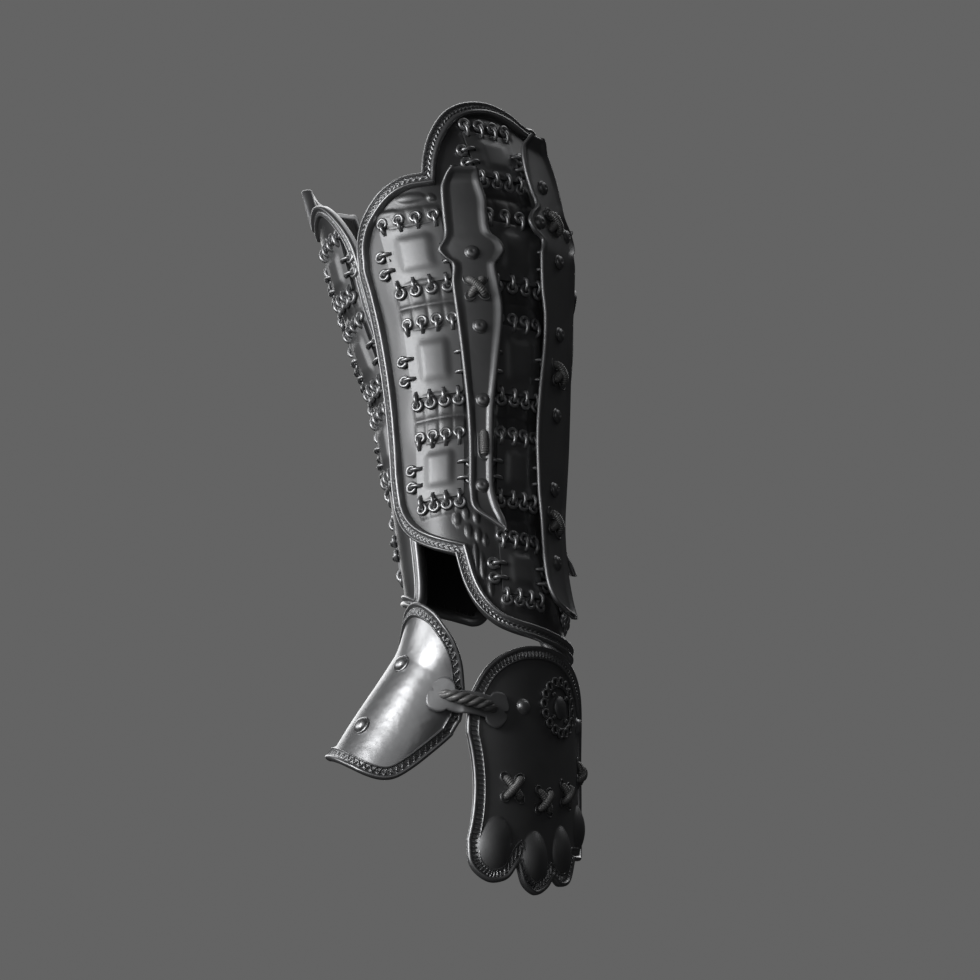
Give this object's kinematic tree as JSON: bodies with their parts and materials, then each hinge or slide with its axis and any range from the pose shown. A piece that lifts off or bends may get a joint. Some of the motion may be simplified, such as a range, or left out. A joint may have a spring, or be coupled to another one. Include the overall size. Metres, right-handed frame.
{
  "type": "samurai arm armour",
  "caption": "Curved forearm shells with linked plates and riveted splints, a knuckled hand guard with a rosette, and a flared thumb guard tied to it by a twisted cord.",
  "frame": {"origin": "middle of the arm at the wrist opening of the forearm shells", "axes": "+Z along the forearm towards the elbow, +X outward through the middle splint of the outer side, +Y towards the side of the little finger"},
  "size_m": [0.1326, 0.1218, 0.3994],
  "materials": {
    "plate_steel": "dark, polished",
    "splint_steel": "dark, polished, with bright rolled edges",
    "guard_steel": "dark, polished",
    "leather": "quilted, waxed",
    "border_leather": "stitched braid between two beads",
    "cord": "three twisted strands"
  },
  "bodies": {
    "root": {"outer_shell": "leather", "outer_border": "border_leather", "inner_shell": "leather", "inner_border": "border_leather", "outer_plate_a2": "plate_steel", "outer_plate_a3": "plate_steel", "outer_plate_a4": "plate_steel", "outer_plate_b1": "plate_steel", "outer_plate_b2": "plate_steel", "outer_plate_b3": "plate_steel", "outer_plate_b4": "plate_steel", "outer_plate_b5": "plate_steel", "outer_plate_c1": "plate_steel", "outer_plate_c2": "plate_steel", "outer_plate_c3": "plate_steel", "outer_plate_c4": "plate_steel", "outer_plate_c5": "plate_steel", "outer_plate_d2": "plate_steel", "outer_plate_d3": "plate_steel", "outer_plate_d4": "plate_steel", "inner_plate_e2": "plate_steel", "inner_plate_e3": "plate_steel", "inner_plate_e4": "plate_steel", "inner_plate_f1": "plate_steel", "inner_plate_f2": "plate_steel", "inner_plate_f3": "plate_steel", "inner_plate_f4": "plate_steel", "inner_plate_g2": "plate_steel", "inner_plate_g3": "plate_steel", "inner_plate_g4": "plate_steel", "splint_left": "splint_steel", "splint_centre": "splint_steel", "splint_right": "splint_steel", "hand_guard": "guard_steel", "hand_border": "border_leather", "rosette_ring": "guard_steel", "rosette_boss": "guard_steel", "thumb_guard": "guard_steel", "thumb_border": "border_leather", "tie_strap": "leather", "twisted_cord": "cord"}
  },
  "joints": []
}
